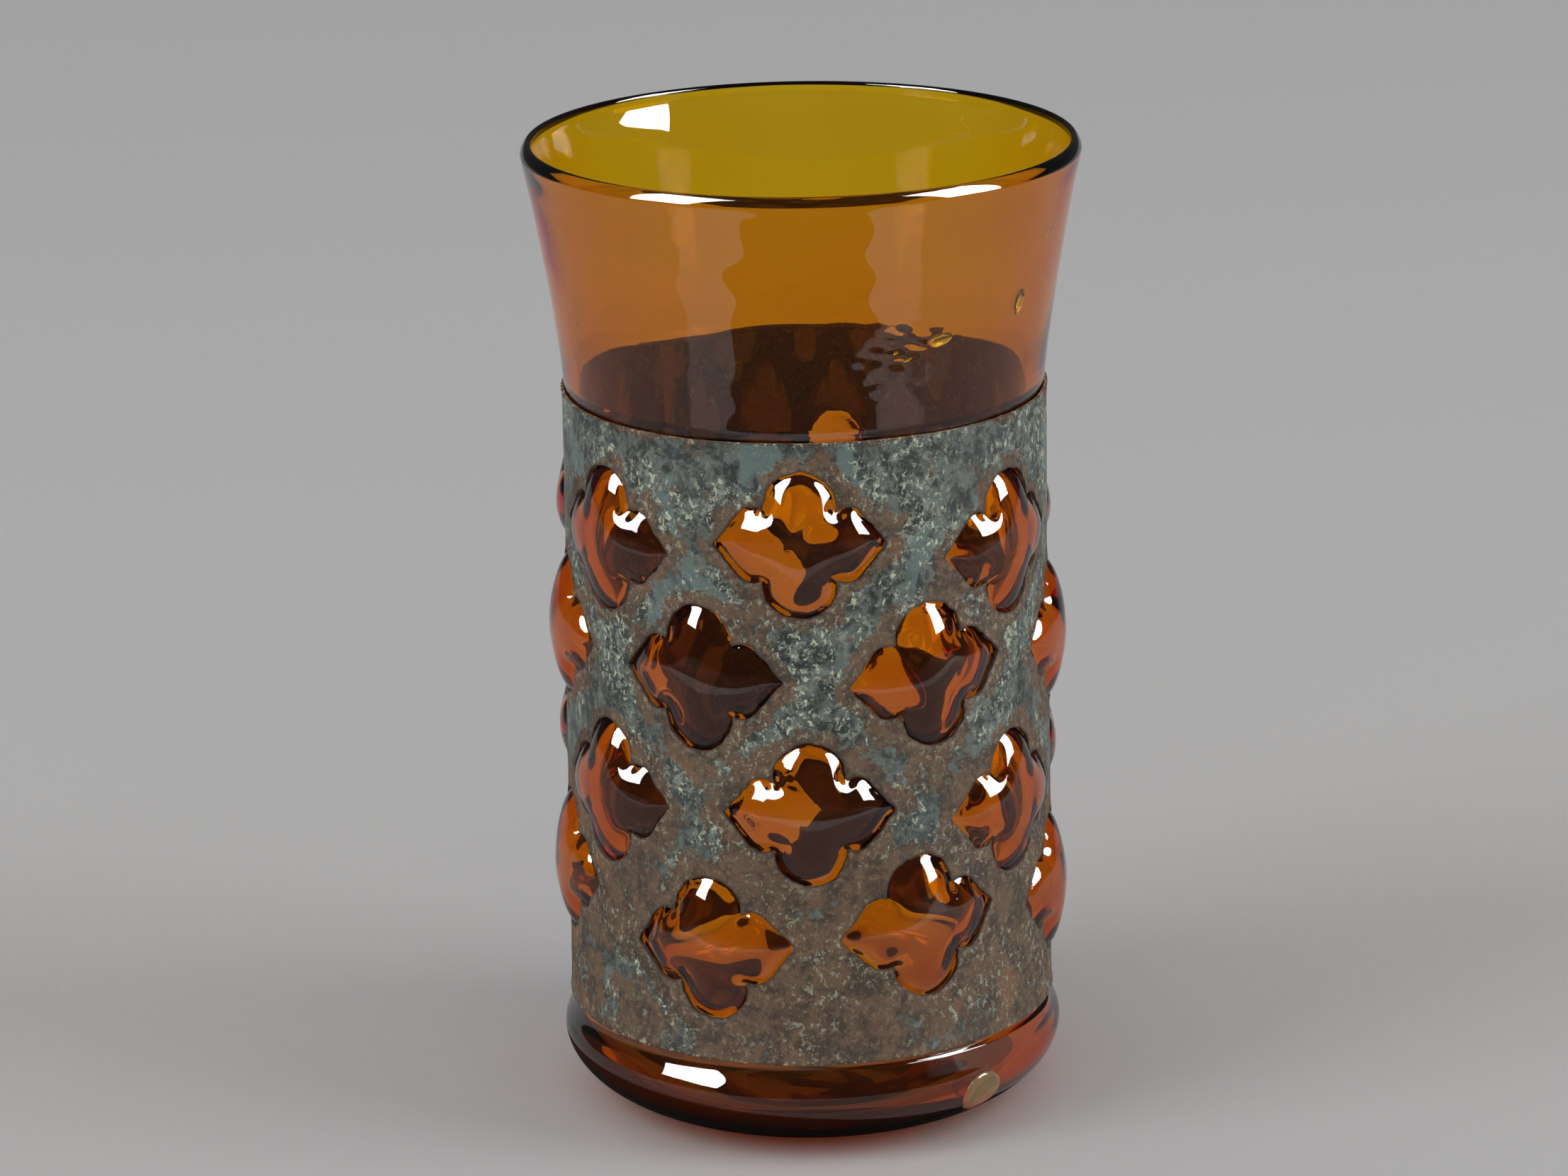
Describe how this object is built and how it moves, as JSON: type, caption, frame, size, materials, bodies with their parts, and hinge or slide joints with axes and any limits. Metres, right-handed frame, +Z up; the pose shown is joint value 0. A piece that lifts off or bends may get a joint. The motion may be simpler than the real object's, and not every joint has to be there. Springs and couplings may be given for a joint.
{
  "type": "caged glass tumbler",
  "caption": "Mouth-blown amber glass tumbler with a flared rim, its wall bulging out through the quatrefoil openings of a rusted sheet-iron sleeve.",
  "frame": {"origin": "centre of the foot, on the surface that the glass stands on", "axes": "+Z up along the axis of the glass, -Y towards the front, +X to the right"},
  "size_m": [0.085, 0.085, 0.152],
  "materials": {
    "amber_glass": "clear amber, fire-polished, gently wavy",
    "rusted_iron": "grey-blue scale with pale flecks, brown rust round the openings",
    "dark_rivet": "dark, lightly rusted",
    "clear_pad": "soft, clear, slightly yellowed"
  },
  "bodies": {
    "root": {"glass_vessel": "amber_glass", "iron_sleeve": "rusted_iron", "seam_rivets": "dark_rivet", "clear_dot": "clear_pad"}
  },
  "joints": []
}
